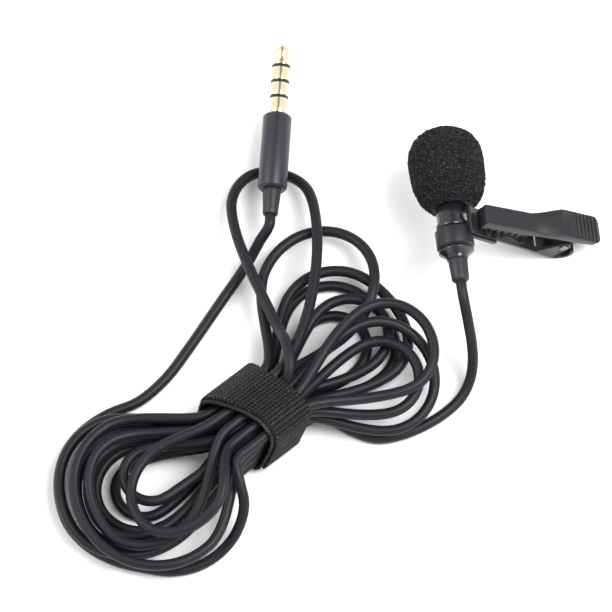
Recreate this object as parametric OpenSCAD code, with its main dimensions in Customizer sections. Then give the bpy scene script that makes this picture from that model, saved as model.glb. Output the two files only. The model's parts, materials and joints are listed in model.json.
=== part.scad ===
// Lavalier microphone: foam-covered head on a sprung clip, a tied hank of
// thin cable, and a four-pole 3.5 mm jack plug. Millimetres, +Z up, laid on
// a surface at z = 0. The head's own frame has its origin at the middle of
// the clip's collar, z towards the cable, x out along the clip and y from
// the lower jaw towards the lever.

/* [Microphone head] */
// Outer diameter of the capsule housing
housing_d = 5.5; // [5.3:0.1:5.8]
// Wall of the capsule housing
housing_wall = 0.4; // [0.35:0.05:0.45]
// Length of the housing in front of the collar's middle
housing_front = 17.5; // [16:0.5:18.5]
// Height of the lip that keeps the grille in
front_lip = 0.35; // [0.3:0.05:0.4]
// Height of the stop bead in front of the collar, over the housing
bead_h = 0.35; // [0.25:0.05:0.45]
// Width of the stop bead
bead_w = 0.8; // [0.6:0.1:1]
// Thickness of the perforated grille
grille_t = 0.4; // [0.3:0.1:0.5]
// Diameter of each grille hole
grille_hole_d = 0.45; // [0.35:0.05:0.5]
// Wall of the rubber gasket round the electret capsule
gasket_wall = 0.35; // [0.3:0.05:0.4]
// Length of the electret capsule
capsule_len = 2.7; // [2.4:0.1:3]
// Thickness of the circuit board behind the capsule
board_t = 0.8; // [0.6:0.1:1]
// Diameter of the rear cap's flange
cap_d = 6.6; // [6.2:0.1:6.8]
// Length of the rear cap outside the housing
cap_len = 1.9; // [1.6:0.1:2.2]
// Depth of the rear cap's spigot in the housing
cap_spigot = 3.4; // [3:0.1:3.8]

/* [Windscreen] */
// Largest diameter of the foam
foam_d = 13.9; // [13.3:0.2:14.5]
// Length of the foam
foam_len = 15.8; // [15.2:0.2:16.6]
// Distance from the collar's middle to the foam's open end
foam_rear = 6.2; // [5.8:0.1:6.6]

/* [Clip] */
// Outer diameter of the swivelling collar
collar_d = 7; // [6.8:0.1:7.2]
// Length of the collar along the microphone
collar_len = 4.2; // [4:0.1:4.6]
// Thickness of the collar's tail
tail_t = 0.9; // [0.8:0.1:1]
// Length of the tail from the collar's middle
tail_len = 7.7; // [7.6:0.1:8.3]
// Diameter of the two rivets through tail and jaw
rivet_d = 1; // [0.8:0.1:1.1]
// Width of the lower jaw
jaw_w = 5.2; // [5:0.1:5.4]
// Thickness of the clip's sheet metal
sheet_t = 0.6; // [0.5:0.05:0.65]
// Distance of the jaw's curled end from the collar's middle
jaw_len = 22.9; // [22.5:0.1:23.5]
// Outer radius of the jaw's curled end
curl_r = 2.5; // [2.3:0.1:2.7]
// How far the clip's middle sits in front of the collar's middle
clip_offset = 2.6; // [2.4:0.1:2.7]
// Width of the lever at its nose
lever_nose_w = 3.7; // [3.5:0.1:3.8]
// Width of the lever's finger pad
lever_pad_w = 5.4; // [5.2:0.1:5.8]
// Depth of the lever's side walls
lever_wall_h = 2.2; // [2:0.1:2.4]
// Gap between the closed lever and the jaw
mouth_gap = 0.2; // [0.15:0.05:0.3]
// Diameter of the pivot pin
pin_d = 1.2; // [1:0.1:1.3]
// Wire of the torsion spring
spring_wire = 0.45; // [0.35:0.05:0.5]
// Turns of the torsion spring
spring_turns = 2; // [1:1:2]
// Number of grip ridges on the finger pad
ridge_count = 6; // [4:1:7]

/* [Cable] */
// Outer diameter of the cable
cord_d = 2; // [1.8:0.1:2]
// Distance between cables side by side in the tie
column_pitch = 2.75; // [2.7:0.05:2.8]
// Distance between the four layers of the hank
layer_pitch = 2.65; // [2.65:0.05:2.75]
// Length of the strain relief at the head
head_relief_len = 4.4; // [4:0.1:5.2]
// Diameter of that strain relief at its root
head_relief_d = 3.6; // [3.5:0.1:3.8]
// Width of the hook-and-loop tie
tie_w = 11; // [10.5:0.5:12]
// Thickness of the tie's strap
tie_t = 1.2; // [1:0.1:1.2]

/* [Plug] */
// Diameter of the jack's shank
jack_d = 3.5; // [3.4:0.1:3.6]
// Length of the jack outside the handle
jack_len = 14.6; // [14.2:0.1:15]
// Length of each of the two ring contacts
ring_len = 2.5; // [2.3:0.1:2.6]
// Length of the sleeve contact outside the handle
sleeve_len = 3.2; // [3:0.1:3.3]
// Length of each insulating collar
collar_gap = 0.6; // [0.5:0.1:0.7]
// Diameter of the plug's handle
handle_d = 5.4; // [5.2:0.1:6]
// Length of the plug's handle
handle_len = 14.9; // [14.2:0.1:15.6]
// Wall of the plug's handle
handle_wall = 0.6; // [0.5:0.05:0.7]
// Length of the strain relief at the plug
plug_relief_len = 5; // [4.6:0.1:5.4]
// Diameter of that strain relief at its root
plug_relief_d = 3.5; // [3.3:0.1:3.7]

/* [Hidden] */
$fn = 64;

// Clearances, on the radius where the piece is round
swivel_gap = 0.03;
fit_gap = 0.02;
pivot_gap = 0.04;
cut = 0.1;

// Along the head's axis
bore_r = housing_d / 2 - housing_wall;
capsule_d = 2 * (bore_r - gasket_wall);
collar_front = -collar_len / 2 - swivel_gap;
flange_z = collar_len / 2 + swivel_gap;
cap_end_z = flange_z + cap_len;
relief_end_z = cap_end_z + head_relief_len;
grille_z = -housing_front + front_lip;
gasket_z = grille_z + grille_t;
gasket_overlap = 0.3;
gasket_len = capsule_len + gasket_overlap;
board_z = gasket_z + gasket_len;
spigot_z = flange_z - cap_spigot;
relief_head_t = 0.8;
relief_step = 0.4;
relief_taper = 0.15;
relief_shank_r = head_relief_d / 2 - relief_step;
relief_tip_r = head_relief_d / 2 - relief_taper;
core_tail = 1.2;
tail_end_z = spigot_z - relief_head_t - core_tail;
conductor_d = 0.5;
conductor_x = 0.55;
capsule_pin_d = 0.4;
capsule_pin_x = 0.88;

// The clip's outline in the head frame's x and y
seat_rise = 0.15;
seat_y = collar_d / 2 + seat_rise;
jaw_y = seat_y + sheet_t;
jaw_front_x = -0.2;
rivet_x = [4.5, 6.8];
rivet_z = (-collar_len / 2 + jaw_w / 2 - clip_offset) / 2;
rivet_head_t = 0.4;
rivet_head_d = rivet_d + 0.8;
tail_border = 0.35;
tail_edge = jaw_w / 2 - clip_offset + tail_border;
pivot_back = 1.6;
pivot_rise = 4.1;
pivot_x = jaw_len - pivot_back;
pivot_y = jaw_y + pivot_rise;
ear_wall = 0.75;
ear_r = pin_d / 2 + ear_wall;
ear_root = 3.4;
lever_gap = 0.06;
lever_ear_z = jaw_w / 2 - sheet_t - lever_gap;

// The lever's back: nose, crease in the front half, break and end of the pad
nose_rise = 3.4;
nose_y = jaw_y + nose_rise;
lever_front_x = 0.9;
crease = [11, 1.7];
pad_break = [-4.2, 4.1];
pad_end = [4.9, 5.0];
lever_line = [
    [lever_front_x, nose_y], [lever_front_x, nose_y] + crease,
    [pivot_x, pivot_y] + pad_break, [pivot_x, pivot_y] + pad_end
];
pad_end_x = lever_line[3][0];
pad_rise = (lever_line[3][1] - lever_line[2][1]) / (lever_line[3][0] - lever_line[2][0]);
clip_depth = 2 * jaw_len;

// The spring's coil lies loosely round the pin
coil_gap = 0.1;
turn_gap = 0.48;
spring_r = pin_d / 2 + pivot_gap + coil_gap + spring_wire / 2;
spring_pitch = spring_wire + turn_gap;
spring_len = spring_turns * spring_pitch;
coil_z = -clip_offset - spring_len / 2;

// How the head lies: its yaw, the clip's slope, and the height at which the
// lowest point of the clip touches the surface
head_yaw = 7.5;
clip_slope = 48;
curl_centre = [jaw_len, seat_y + curl_r];
function sink(x, y) = x * sin(clip_slope) - y * cos(clip_slope);
collar_h = sink(curl_centre[0], curl_centre[1]) + curl_r;
head_axis = [sin(head_yaw), -cos(head_yaw), 0];
head_at = [0.65, 0, 0];

// The foam's outline: a blunt egg, [radius, z] from its tip to its open end.
// It sits a little to one side of the head's axis.
foam_side = 0.45;
foam_front_round = 2.3;
foam_tail_round = 3;
foam_flank_round = 2.2;
foam_tip_z = -foam_rear - foam_len;
foam_wide = 0.42 * foam_len;
foam_tail = 0.655 * foam_len;
foam_steps = 24;
function foam_r(s) = let(
        q = s < foam_wide ? (foam_wide - s) / foam_wide : (s - foam_wide) / foam_tail,
        power = s < foam_wide ? foam_front_round : foam_tail_round
    ) foam_d / 2 * pow(max(0, 1 - pow(q, power)), 1 / foam_flank_round);
function foam_s(k) = foam_len * (1 - cos(180 * k / foam_steps)) / 2;
foam_outline = [for (k = [0:foam_steps]) [foam_r(foam_s(k)), foam_tip_z + foam_s(k)]];

// Everything shifts so that the head and clip stand over the origin
function head_u(x, y) = x * cos(clip_slope) + y * sin(clip_slope);
function spread(p) = [for (side = [-1, 1]) p[1] * sin(head_yaw) + side * p[0] * cos(head_yaw)];
function reach(p) = [for (side = [-1, 1]) -p[1] * cos(head_yaw) + side * p[0] * sin(head_yaw)];
pad_u = head_u(pad_end_x, lever_line[3][1]);
pad_z = -clip_offset + lever_pad_w / 2 - 0.9;
own_min_x = min([for (p = foam_outline) min(spread(p))]);
own_max_x = pad_u * cos(head_yaw) + pad_z * sin(head_yaw);
own_max_y = max([for (p = foam_outline) max(reach(p))]);
own_min_y = min(reach([relief_tip_r, relief_end_z]));
own_shift = -head_at - [own_min_x + own_max_x, own_min_y + own_max_y, 0] / 2;

// The tie and the grid of places in it: five columns, four layers. Side 1 is
// the tie's right mouth, side -1 its left mouth.
tie_at = [-36.2, -31.7];
tie_turn = 39;
along = [cos(tie_turn), sin(tie_turn)];
across = [-sin(tie_turn), cos(tie_turn)];
mouth = 6.6;
lowest_layer = 1.35 + cord_d / 2;
column_shift = 0.2;
floor_z = cord_d / 2 + 0.05;
function place(column, layer, side) = concat(
    tie_at + along * mouth * side + across * ((2 - column) * column_pitch + column_shift),
    lowest_layer + layer * layer_pitch);

// Each loop of the hank: side, the column and layer where it leaves the tie
// and where it comes back, the way it turns, the heading of its middle, its
// reach from the tie, the length of its round end, its half width on the
// leaving and on the returning side, and its height in layers at five
// stations. Then how straight it leaves and where its round end stops.
loops = [
    [-1, [4, 0], [0, 0], 1, 213.3, 36.2, 12.4, 9.5, 13.8, [0, 0, 0, 0, 0], 0.6, 95, 0],
    [1, [0, 0], [3, 0], 1, 53.4, 33, 9, 9.2, 13, [0, 0, 0, 0, 0], 0.6, 95, 0],
    [-1, [3, 0], [1, 0], 1, 210.3, 32.5, 8.8, 8.2, 8.4, [0, 0, 0, 0, 0], 0.6, 95, 0],
    [1, [1, 0], [2, 0], 1, 48, 28, 6.8, 6.3, 6.3, [0, 0, 0, 0, 0], 0.6, 95, 0],
    [-1, [2, 0], [2, 1], 1, 211, 29, 5.3, 5.4, 5.4, [0, 0.1, 0, 0, 0.9], 0.6, 95, 0],
    [1, [2, 1], [1, 1], -1, 45, 32, 7.5, 7.2, 7.2, [1, 1, 1, 1, 1], 0.6, 95, 0],
    [-1, [1, 1], [3, 1], -1, 214.5, 34.6, 9.7, 10.9, 7.6, [1, 1, 1, 1, 1], 0.6, 95, 0],
    [1, [3, 1], [0, 1], -1, 53.5, 35.2, 10, 14.8, 10, [1, 1, 1, 1, 1], 0.6, 95, 0],
    [-1, [0, 1], [4, 1], -1, 212.2, 39.3, 13.5, 15.5, 11.9, [1, 1, 1, 1, 1], 0.6, 95, 0],
    [1, [4, 1], [2, 2], -1, 20, 34.6, 9.5, 10.2, 10.2, [1, 1.1, 1.5, 2.4, 2.5], 0.6, 95, 0],
    [-1, [2, 2], [3, 2], -1, 210.9, 27.2, 5.1, 5.1, 5.1, [2, 2, 2, 2, 2], 0.6, 95, 0],
    [1, [3, 2], [4, 2], 1, 19, 31.6, 7, 7.2, 7.2, [2, 2, 2, 2, 2], 0.6, 95, 0],
    [-1, [4, 2], [0, 2], 1, 218.5, 37.7, 14.1, 14.6, 15.7, [2, 2, 2, 2.2, 2], 0.6, 95, 0],
    [1, [0, 2], [1, 2], 1, 66, 40.8, 11.8, 10.5, 10, [1.5, 1.1, 1.2, 2.1, 1], 0.6, 125, 0],
    [-1, [1, 2], [2, 3], -1, 219.9, 35, 10.6, 13.3, 8.4, [2, 2.4, 2, 1.9, 2.45], 0.6, 95, 0],
    [1, [2, 3], [1, 3], 1, 88, 50.8, 7.5, 5.9, 9, [2.6, 1.6, 0.3, 2.1, 2.8], 0.6, 75, 3.9],
    [-1, [1, 3], [3, 3], -1, 229, 30, 9.7, 9.1, 7.7, [3.3, 2.9, 3.2, 3.9, 4.6], 1, 95, 0],
    [1, [3, 3], [4, 3], 1, 28, 36, 8, 8.5, 9.2, [3.6, 3.2, 3, 3, 3], 0.6, 95, 0]
];
leg_rings = 7;
bend_rings = 10;
bend_start = 95;
hump_at = 6;
hump_w = 4;

function unit(v) = v / norm(v);
function sum(list, i = 0) = i < len(list) ? list[i] + sum(list, i + 1) : 0;

// A cubic from p to q with the slopes m and n, and one through even stations
function curve(p, m, q, n, t) =
    (1 + 2 * t) * pow(1 - t, 2) * p + t * pow(1 - t, 2) * m
    + t * t * (3 - 2 * t) * q + t * t * (t - 1) * n;
function station_slope(z, i) = i == 0 || i == len(z) - 1 ? 0 : (z[i + 1] - z[i - 1]) / 2;
function station(z, t) = let(
        at = min(t * (len(z) - 1), len(z) - 1.000001),
        i = floor(at)
    ) curve(z[i], station_slope(z, i), z[i + 1], station_slope(z, i + 1), at - i);

// The loop's round end at angle a, and its heading there
function bend_at(row, a) = let(
        ahead = [cos(row[4]), sin(row[4])],
        aside = [-ahead[1], ahead[0]] * row[3],
        half = sin(a) > 0 ? row[7] : row[8]
    ) tie_at + ahead * (row[5] - row[6] + row[6] * cos(a)) + aside * half * sin(a);
function bend_way(row, a) = let(
        ahead = [cos(row[4]), sin(row[4])],
        aside = [-ahead[1], ahead[0]] * row[3],
        half = sin(a) > 0 ? row[7] : row[8]
    ) unit(ahead * row[6] * sin(a) - aside * half * cos(a));
function plan(p) = [p[0], p[1]];

// Points of one loop in plan, from its place in the tie round and back
function loop_plan(row) = let(
        p = plan(place(row[1][0], row[1][1], row[0])),
        q = plan(place(row[2][0], row[2][1], row[0])),
        first = bend_at(row, bend_start),
        last = bend_at(row, -row[11]),
        out = norm(first - p),
        back = norm(q - last),
        pull = along * row[0] * row[10]
    ) concat(
        [for (k = [0:leg_rings - 1])
            curve(p, pull * out, first, bend_way(row, bend_start) * out, k / leg_rings)],
        [for (k = [0:bend_rings - 1])
            bend_at(row, bend_start - (bend_start + row[11]) * k / (bend_rings - 1))],
        [for (k = [1:leg_rings])
            curve(last, bend_way(row, -row[11]) * back, q, -pull * back, k / leg_rings)]
    );
function steps(path) = [for (i = [1:len(path) - 1]) norm(path[i] - path[i - 1])];
function run_to(list, i) = i == 0 ? 0 : list[i - 1] + run_to(list, i - 1);
function loop_points(row) = let(
        path = loop_plan(row),
        gaps = steps(path),
        total = sum(gaps),
        heights = concat(
            place(0, row[1][1], 1)[2],
            [for (h = row[9]) floor_z + layer_pitch * h],
            place(0, row[2][1], 1)[2])
    ) [for (i = [0:len(path) - 1])
        let(s = run_to(gaps, i))
        concat(path[i], station(heights, s / total)
            + row[12] * exp(-pow((s - hump_at) / hump_w, 2)))];

// The whole hank: in at the lowest layer on the right, out at the top on the left
hank_start = place(4, 0, 1);
hank_end = place(4, 3, -1);
hank_points = concat([hank_start], [for (row = loops) each loop_points(row)], [hank_end]);

// The plug's axis, its height over the surface and the place of its relief's end
plug_yaw = 86.1;
plug_axis = [cos(plug_yaw), sin(plug_yaw), 0];
plug_h = 6.4;
plug_back = [-33.38, 8.67, plug_h];
plug_face = plug_back + plug_axis * (handle_len + plug_relief_len);

// The two free stretches, from the tie to the head and from the tie to the plug
way = concat(along, 0);
head_relief_end = head_at + [0, 0, collar_h] + head_axis * relief_end_z;
head_route = concat(
    [hank_start, hank_start + way],
    [
        [-24.8, -29.9, 2.2], [-22.2, -30.3, 1.6], [-18.5, -32.1, floor_z], [-14, -33.7, floor_z],
        [-9.5, -33.1, floor_z], [-5, -31.2, floor_z], [-0.8, -28.4, floor_z], [2, -25.6, 1.5],
        [3.5, -22.8, 2.9], [4, -20.2, 5.1], [3.8, -17.6, 8], [3.2, -15.2, 11.3], [2.5, -12.6, 14.3]
    ],
    [head_relief_end + head_axis * cord_d, head_relief_end]
);
plug_route = concat(
    [hank_end, hank_end - way],
    [
        [-39.6, -42.4, 10.5], [-39, -45.4, 9.9], [-38.1, -49.3, 7.4], [-39.5, -53.4, 4.2],
        [-42.5, -56.5, 1.8], [-46.6, -58.9, floor_z], [-51.4, -59.9, floor_z], [-56.6, -59.2, floor_z],
        [-61.9, -57.8, floor_z], [-66.9, -54.9, floor_z], [-70.4, -50.8, floor_z],
        [-72, -46, floor_z], [-72.2, -41.2, floor_z], [-70.9, -36.4, floor_z], [-68, -32.4, floor_z],
        [-63.4, -29, floor_z], [-57.6, -26.4, floor_z], [-52.6, -21.8, floor_z],
        [-48.5, -16, floor_z], [-44.9, -10.4, floor_z], [-41.6, -5.2, floor_z],
        [-39.2, -1.6, 1.2], [-37.2, 1.4, 2.2], [-35.3, 4.3, 4.3]
    ],
    [plug_back - plug_axis * cord_d, plug_back]
);
free_sides = 8;
hank_sides = 6;

// A tube through the points, upright to the surface: rings, then triangles
function heading(path, i) = unit(
    i == 0 ? path[1] - path[0]
    : i == len(path) - 1 ? path[i] - path[i - 1]
    : unit(path[i + 1] - path[i]) + unit(path[i] - path[i - 1]));
function ring(path, i, r, sides) = let(
        t = heading(path, i),
        side = unit(cross(t, [0, 0, 1])),
        up = cross(side, t)
    ) [for (k = [0:sides - 1])
        path[i] + r * (cos(360 * k / sides) * side + sin(360 * k / sides) * up)];
function wall(n, sides) = [for (i = [0:n - 2]) for (k = [0:sides - 1])
    let(a = i * sides + k, b = i * sides + (k + 1) % sides)
    each [[a, b, b + sides], [a, b + sides, a + sides]]];
function cap(first, sides, turn) = [for (k = [1:sides - 2])
    turn > 0 ? [first, first + k, first + k + 1] : [first, first + k + 1, first + k]];
module tube(path, d, sides) {
    n = len(path);
    polyhedron(
        points = [for (i = [0:n - 1]) each ring(path, i, d / 2, sides)],
        faces = concat(wall(n, sides), cap(0, sides, -1), cap((n - 1) * sides, sides, 1)));
}

// Least distance from each point of a path to its stretches further on
function to_stretch(p, a, b) = let(
        ab = b - a,
        t = max(0, min(1, (p - a) * ab / (ab * ab)))
    ) norm(p - a - t * ab);
function least_gap(path, d, skip) = min([
    for (i = [0:len(path) - 1]) for (j = [0:len(path) - 2])
        if (abs(i - j) > skip) to_stretch(path[i], path[j], path[j + 1])
]) - d;

// Placing: on the head's axis, in the clip's frame, and on the plug's axis
module on_head() {
    translate(own_shift + head_at + [0, 0, collar_h]) rotate([90, 0, head_yaw]) children();
}
module on_clip() {
    on_head() rotate([0, 0, -clip_slope]) children();
}
module on_plug() {
    translate(own_shift + plug_face) rotate([0, 90, plug_yaw]) children();
}
module laid() {
    translate(own_shift) children();
}

// A turned piece from z0 to z1, with an optional bore
module turned(r, z0, z1, bore = 0) {
    difference() {
        translate([0, 0, z0]) cylinder(r = r, h = z1 - z0);
        if (bore > 0) {
            translate([0, 0, z0 - cut]) cylinder(r = bore, h = z1 - z0 + 2 * cut);
        }
    }
}

module foam_windscreen() {
    nose_room = 0.3;
    color("#2b2a2e") on_head() difference() {
        translate([foam_side, 0, 0]) rotate_extrude()
            polygon(concat(foam_outline, [[0, -foam_rear]]));
        translate([0, 0, -housing_front - nose_room])
            cylinder(r = housing_d / 2 + fit_gap, h = housing_front + nose_room);
    }
}

module capsule_housing() {
    lip_w = 0.35;
    color("#5b5b60") on_head() difference() {
        union() {
            turned(housing_d / 2, -housing_front, flange_z);
            turned(housing_d / 2 + bead_h, collar_front - bead_w, collar_front);
        }
        translate([0, 0, grille_z]) cylinder(r = bore_r, h = flange_z - grille_z + cut);
        translate([0, 0, -housing_front - cut]) cylinder(r = bore_r - lip_w, h = front_lip + 2 * cut);
    }
}

module head_grille() {
    hole_rows = [[0, 1], [0.75, 6], [1.45, 10]];
    color("#77777b") on_head() difference() {
        turned(bore_r - fit_gap, grille_z, gasket_z);
        for (row = hole_rows) {
            for (k = [0:row[1] - 1]) {
                rotate([0, 0, 360 * k / row[1]]) translate([row[0], 0, grille_z - cut])
                    cylinder(d = grille_hole_d, h = grille_t + 2 * cut, $fn = 16);
            }
        }
    }
}

module electret_capsule() {
    sound_hole_d = 0.9;
    sound_hole_h = 0.5;
    pin_h = board_z + board_t - gasket_z - capsule_len;
    color("#b9b9bd") on_head() {
        difference() {
            turned(capsule_d / 2, gasket_z, gasket_z + capsule_len);
            translate([0, 0, gasket_z - cut]) cylinder(d = sound_hole_d, h = sound_hole_h + cut);
        }
        for (side = [-1, 1]) {
            translate([side * capsule_pin_x, 0, gasket_z + capsule_len - cut])
                cylinder(d = capsule_pin_d, h = pin_h + cut, $fn = 16);
        }
    }
}

module capsule_gasket() {
    color("#1c1c1e") on_head()
        turned(bore_r - fit_gap, gasket_z, board_z, capsule_d / 2 + fit_gap);
}

module circuit_board() {
    color("#2f5b3a") on_head() difference() {
        turned(bore_r - fit_gap, board_z, board_z + board_t);
        for (side = [-1, 1]) {
            translate([side * capsule_pin_x, 0, board_z - cut])
                cylinder(d = capsule_pin_d + 2 * fit_gap, h = board_t + 2 * cut, $fn = 16);
        }
    }
}

module head_conductors() {
    color("#8b2f2a") on_head() {
        turned(cord_d / 2, tail_end_z, relief_end_z);
        for (side = [-1, 1]) {
            translate([0, side * conductor_x, board_z + board_t])
                cylinder(d = conductor_d, h = tail_end_z - board_z - board_t + cut, $fn = 16);
        }
    }
}

module rear_cap() {
    lip = 0.5;
    lip_round = 0.15;
    mouth_border = 0.2;
    neck_r = head_relief_d / 2 + mouth_border;
    flare_steps = 6;
    color("#4a4a4f") on_head() difference() {
        union() {
            turned(bore_r - fit_gap, spigot_z, flange_z + cut);
            rotate_extrude() polygon(concat(
                [[0, flange_z], [cap_d / 2 - lip_round, flange_z], [cap_d / 2, flange_z + lip_round]],
                [for (k = [0:flare_steps])
                    let(t = k / flare_steps)
                    [neck_r + (cap_d / 2 - neck_r) * pow(1 - t, 2), flange_z + lip + t * (cap_len - lip)]],
                [[0, cap_end_z]]
            ));
        }
        translate([0, 0, spigot_z - cut])
            cylinder(r = relief_shank_r + fit_gap, h = cap_spigot + cap_len + 2 * cut);
    }
}

module head_strain_relief() {
    round_end = 0.4;
    head_r = bore_r - 0.15;
    color("#3a3a3f") on_head() difference() {
        union() {
            turned(head_r, spigot_z - relief_head_t, spigot_z);
            turned(relief_shank_r, spigot_z - cut, cap_end_z + cut);
            translate([0, 0, cap_end_z])
                cylinder(r1 = head_relief_d / 2, r2 = relief_tip_r, h = head_relief_len - round_end);
            translate([0, 0, relief_end_z - round_end])
                cylinder(r1 = relief_tip_r, r2 = relief_tip_r - round_end, h = round_end);
        }
        translate([0, 0, spigot_z - relief_head_t - cut])
            cylinder(r = cord_d / 2 + fit_gap, h = relief_end_z - spigot_z + relief_head_t + 2 * cut);
    }
}

module clip_collar() {
    chamfer = 0.5;
    wall_r = collar_d / 2;
    color("#4b4b50") on_clip() difference() {
        union() {
            rotate_extrude() polygon([
                [0, -collar_len / 2], [wall_r - chamfer, -collar_len / 2],
                [wall_r, -collar_len / 2 + chamfer], [wall_r, collar_len / 2 - chamfer],
                [wall_r - chamfer, collar_len / 2], [0, collar_len / 2]
            ]);
            translate([0, seat_y - tail_t, -collar_len / 2])
                cube([tail_len, tail_t, collar_len / 2 + tail_edge]);
        }
        cylinder(r = housing_d / 2 + swivel_gap, h = collar_len + 2 * cut, center = true);
        for (x = rivet_x) {
            translate([x, 0, rivet_z]) rotate([-90, 0, 0]) cylinder(d = rivet_d, h = jaw_y);
        }
    }
}

module collar_rivets() {
    color("#8c8c90") on_clip() for (x = rivet_x) {
        translate([x, seat_y - tail_t - rivet_head_t, rivet_z]) rotate([-90, 0, 0]) {
            cylinder(d = rivet_d, h = tail_t + sheet_t + 2 * rivet_head_t);
            cylinder(d = rivet_head_d, h = rivet_head_t);
            translate([0, 0, tail_t + sheet_t + rivet_head_t])
                cylinder(d = rivet_head_d, h = rivet_head_t);
        }
    }
}

// A prism over a plan outline given in x and z, through the whole clip
module through_plan(outline) {
    translate([0, clip_depth, -clip_offset]) rotate([90, 0, 0])
        linear_extrude(2 * clip_depth) polygon(outline);
}
// A slab of width w in the clip's middle, from an outline in x and y
module slab(w) {
    translate([0, 0, -clip_offset - w / 2]) linear_extrude(w) children();
}
module both_sides(outer, t) {
    for (side = [-1, 1]) {
        translate([0, 0, -clip_offset + side * (outer - t / 2) - t / 2]) linear_extrude(t)
            children();
    }
}

module lower_jaw() {
    lip_h = 0.4;
    curl_turn = 150;
    slot_back = 3.35;
    slot_w = 1.2;
    slot_len = 3;
    hole_back = 7.8;
    hole_z = 1.17;
    hole_d = 1.3;
    rim_border = 0.4;
    rim_t = 0.3;
    color("#6e6c70") on_clip() difference() {
        union() {
            slab(jaw_w) {
                translate([jaw_front_x, seat_y]) square([jaw_len - jaw_front_x, sheet_t]);
                translate([jaw_front_x, seat_y]) square([sheet_t, sheet_t + lip_h]);
                difference() {
                    translate(curl_centre) circle(r = curl_r);
                    translate(curl_centre) circle(r = curl_r - sheet_t);
                    translate(curl_centre) rotate(curl_turn - 90)
                        translate([-2 * curl_r, 0]) square([4 * curl_r, 2 * curl_r]);
                    translate([jaw_len - 2 * curl_r, jaw_y]) square(2 * curl_r);
                }
            }
            both_sides(jaw_w / 2, sheet_t) {
                polygon([
                    [pivot_x - ear_root, seat_y], [jaw_len, seat_y],
                    [pivot_x + ear_r, pivot_y], [pivot_x - ear_r, pivot_y]
                ]);
                translate([pivot_x, pivot_y]) circle(r = ear_r);
            }
            for (side = [-1, 1]) {
                translate([pivot_x - hole_back, seat_y - rim_t, -clip_offset + side * hole_z])
                    rotate([-90, 0, 0]) cylinder(d = hole_d + 2 * rim_border, h = rim_t + cut);
            }
        }
        translate([pivot_x, pivot_y, -clip_offset])
            cylinder(d = pin_d, h = jaw_w + 2 * cut, center = true);
        for (x = rivet_x) {
            translate([x, 0, rivet_z]) rotate([-90, 0, 0]) cylinder(d = rivet_d, h = 2 * jaw_y);
        }
        for (side = [-1, 1]) {
            translate([pivot_x - hole_back, 0, -clip_offset + side * hole_z]) rotate([-90, 0, 0])
                cylinder(d = hole_d, h = 2 * jaw_y);
        }
        translate([pivot_x - slot_back, 0, -clip_offset - slot_len / 2])
            cube([slot_w, 2 * jaw_y, slot_len]);
    }
}

// The lever's plan outline, set in by t: round corners at the nose, a smooth
// flare from the crease to the pad, and round corners at the pad's end
pad_corner = 1.2;
nose_corner = 0.6;
flare_steps = 6;
flare_over = 1.2;
function eased(t) = t * t * (3 - 2 * t);
function lever_plan(t) = let(
        nose = lever_nose_w / 2 - t,
        pad = lever_pad_w / 2 - t,
        end = pad_end_x - t,
        r = pad_corner - t / 2,
        nose_r = nose_corner - t / 2,
        front = lever_front_x + t,
        flare_from = lever_line[1][0],
        flare = lever_line[2][0] + flare_over - flare_from,
        half = concat(
            [for (a = [180:-30:90]) [front + nose_r + nose_r * cos(a), nose - nose_r + nose_r * sin(a)]],
            [for (k = [0:flare_steps])
                [flare_from + flare * k / flare_steps, nose + (pad - nose) * eased(k / flare_steps)]],
            [for (a = [90:-15:0]) [end - r + r * cos(a), pad - r + r * sin(a)]])
    ) concat(half, [for (i = [len(half) - 1:-1:0]) [half[i][0], -half[i][1]]]);
function lowered(line, h) = [for (p = line) p - [0, h]];
function flipped(line) = [for (i = [len(line) - 1:-1:0]) line[i]];

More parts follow.
